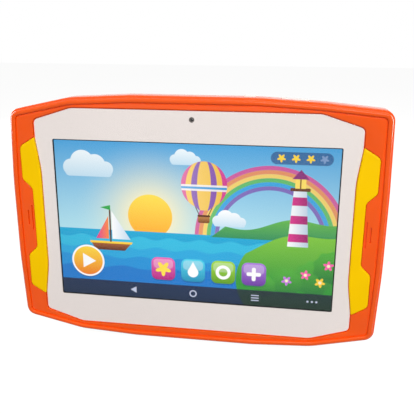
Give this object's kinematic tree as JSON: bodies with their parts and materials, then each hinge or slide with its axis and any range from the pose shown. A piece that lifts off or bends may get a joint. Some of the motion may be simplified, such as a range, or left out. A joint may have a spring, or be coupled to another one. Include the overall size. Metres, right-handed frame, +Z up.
{
  "type": "kids toy tablet",
  "caption": "Child's seven-inch tablet: glass touch screen in an orange two-part case with raised rim, yellow side grips, speaker slits, keys on the upper edge and sockets on the right side.",
  "frame": {"origin": "on the ground under the middle of the case, which stands on its long lower edge", "axes": "+X to the right seen from the screen's side, +Y from the screen to the back, +Z up along the case's height"},
  "size_m": [0.2044, 0.015, 0.1401],
  "materials": {
    "orange_abs": "moulded ABS, satin gloss, smooth",
    "pale_abs": "moulded ABS, pale warm white, polished",
    "yellow_rubber": "soft moulded rubber, smooth satin",
    "cover_glass": "clear float glass, polished edge",
    "white_print": "white printed film under the glass",
    "black_foam": "closed-cell foam and adhesive tape",
    "screen_picture": null,
    "tray_steel": "thin pressed steel",
    "plated_steel": "nickel-plated steel",
    "board_green": "green solder mask",
    "black_plastic": "moulded black plastic",
    "natural_nylon": "unpainted natural nylon",
    "battery_foil": "laminated aluminium foil",
    "ribbon_film": "amber polyimide film with copper tracks",
    "lead_red": "red PVC insulation",
    "lead_black": "black PVC insulation",
    "dark_glass": "dark tinted lens glass"
  },
  "bodies": {
    "case": {"front_frame": "orange_abs", "grip_left": "yellow_rubber", "grip_right": "yellow_rubber", "touch_panel": "cover_glass", "border_film": "white_print", "panel_tape": "black_foam", "screen_gasket": "black_foam", "screen_cell": "screen_picture", "screen_backlight": "tray_steel", "back_cover": "orange_abs", "cover_screws": "plated_steel", "main_board": "board_green", "board_screws": "plated_steel", "processor": "black_plastic", "memory_chips": "black_plastic", "power_chip": "black_plastic", "radio_module": "plated_steel", "ribbon_sockets": "natural_nylon", "screen_ribbon": "ribbon_film", "touch_ribbon": "ribbon_film", "camera_ribbon": "ribbon_film", "battery": "battery_foil", "battery_tape": "black_foam", "battery_socket": "natural_nylon", "battery_leads": "lead_red", "speaker_left": "black_plastic", "speaker_right": "black_plastic", "speaker_gasket_left": "black_foam", "speaker_gasket_right": "black_foam", "speaker_leads_left": "lead_black", "speaker_leads_right": "lead_black", "front_camera": "black_plastic", "rear_camera": "black_plastic", "rear_lens_ring": "plated_steel", "rear_lens_window": "dark_glass", "microphone": "plated_steel", "usb_socket": "plated_steel", "headphone_socket": "black_plastic", "card_socket": "plated_steel", "power_switch": "black_plastic", "volume_switches": "black_plastic"},
    "power_key": {"power_button": "pale_abs", "power_plunger": "natural_nylon"},
    "volume_key": {"volume_rocker": "pale_abs", "volume_plungers": "natural_nylon"}
  },
  "joints": [
    {"name": "power_press", "type": "slide", "parent": "case", "child": "power_key", "axis": [0, 0, -1], "range_m": [0, 0.0004], "stiffness_N_per_m": 400},
    {"name": "volume_rock", "type": "hinge", "parent": "case", "child": "volume_key", "pos_m": [0.05186, 0.0011, 0.13582], "axis": [0, 1, 0], "range_deg": [-1.5, 1.5], "stiffness_Nm_per_rad": 0.05}
  ]
}
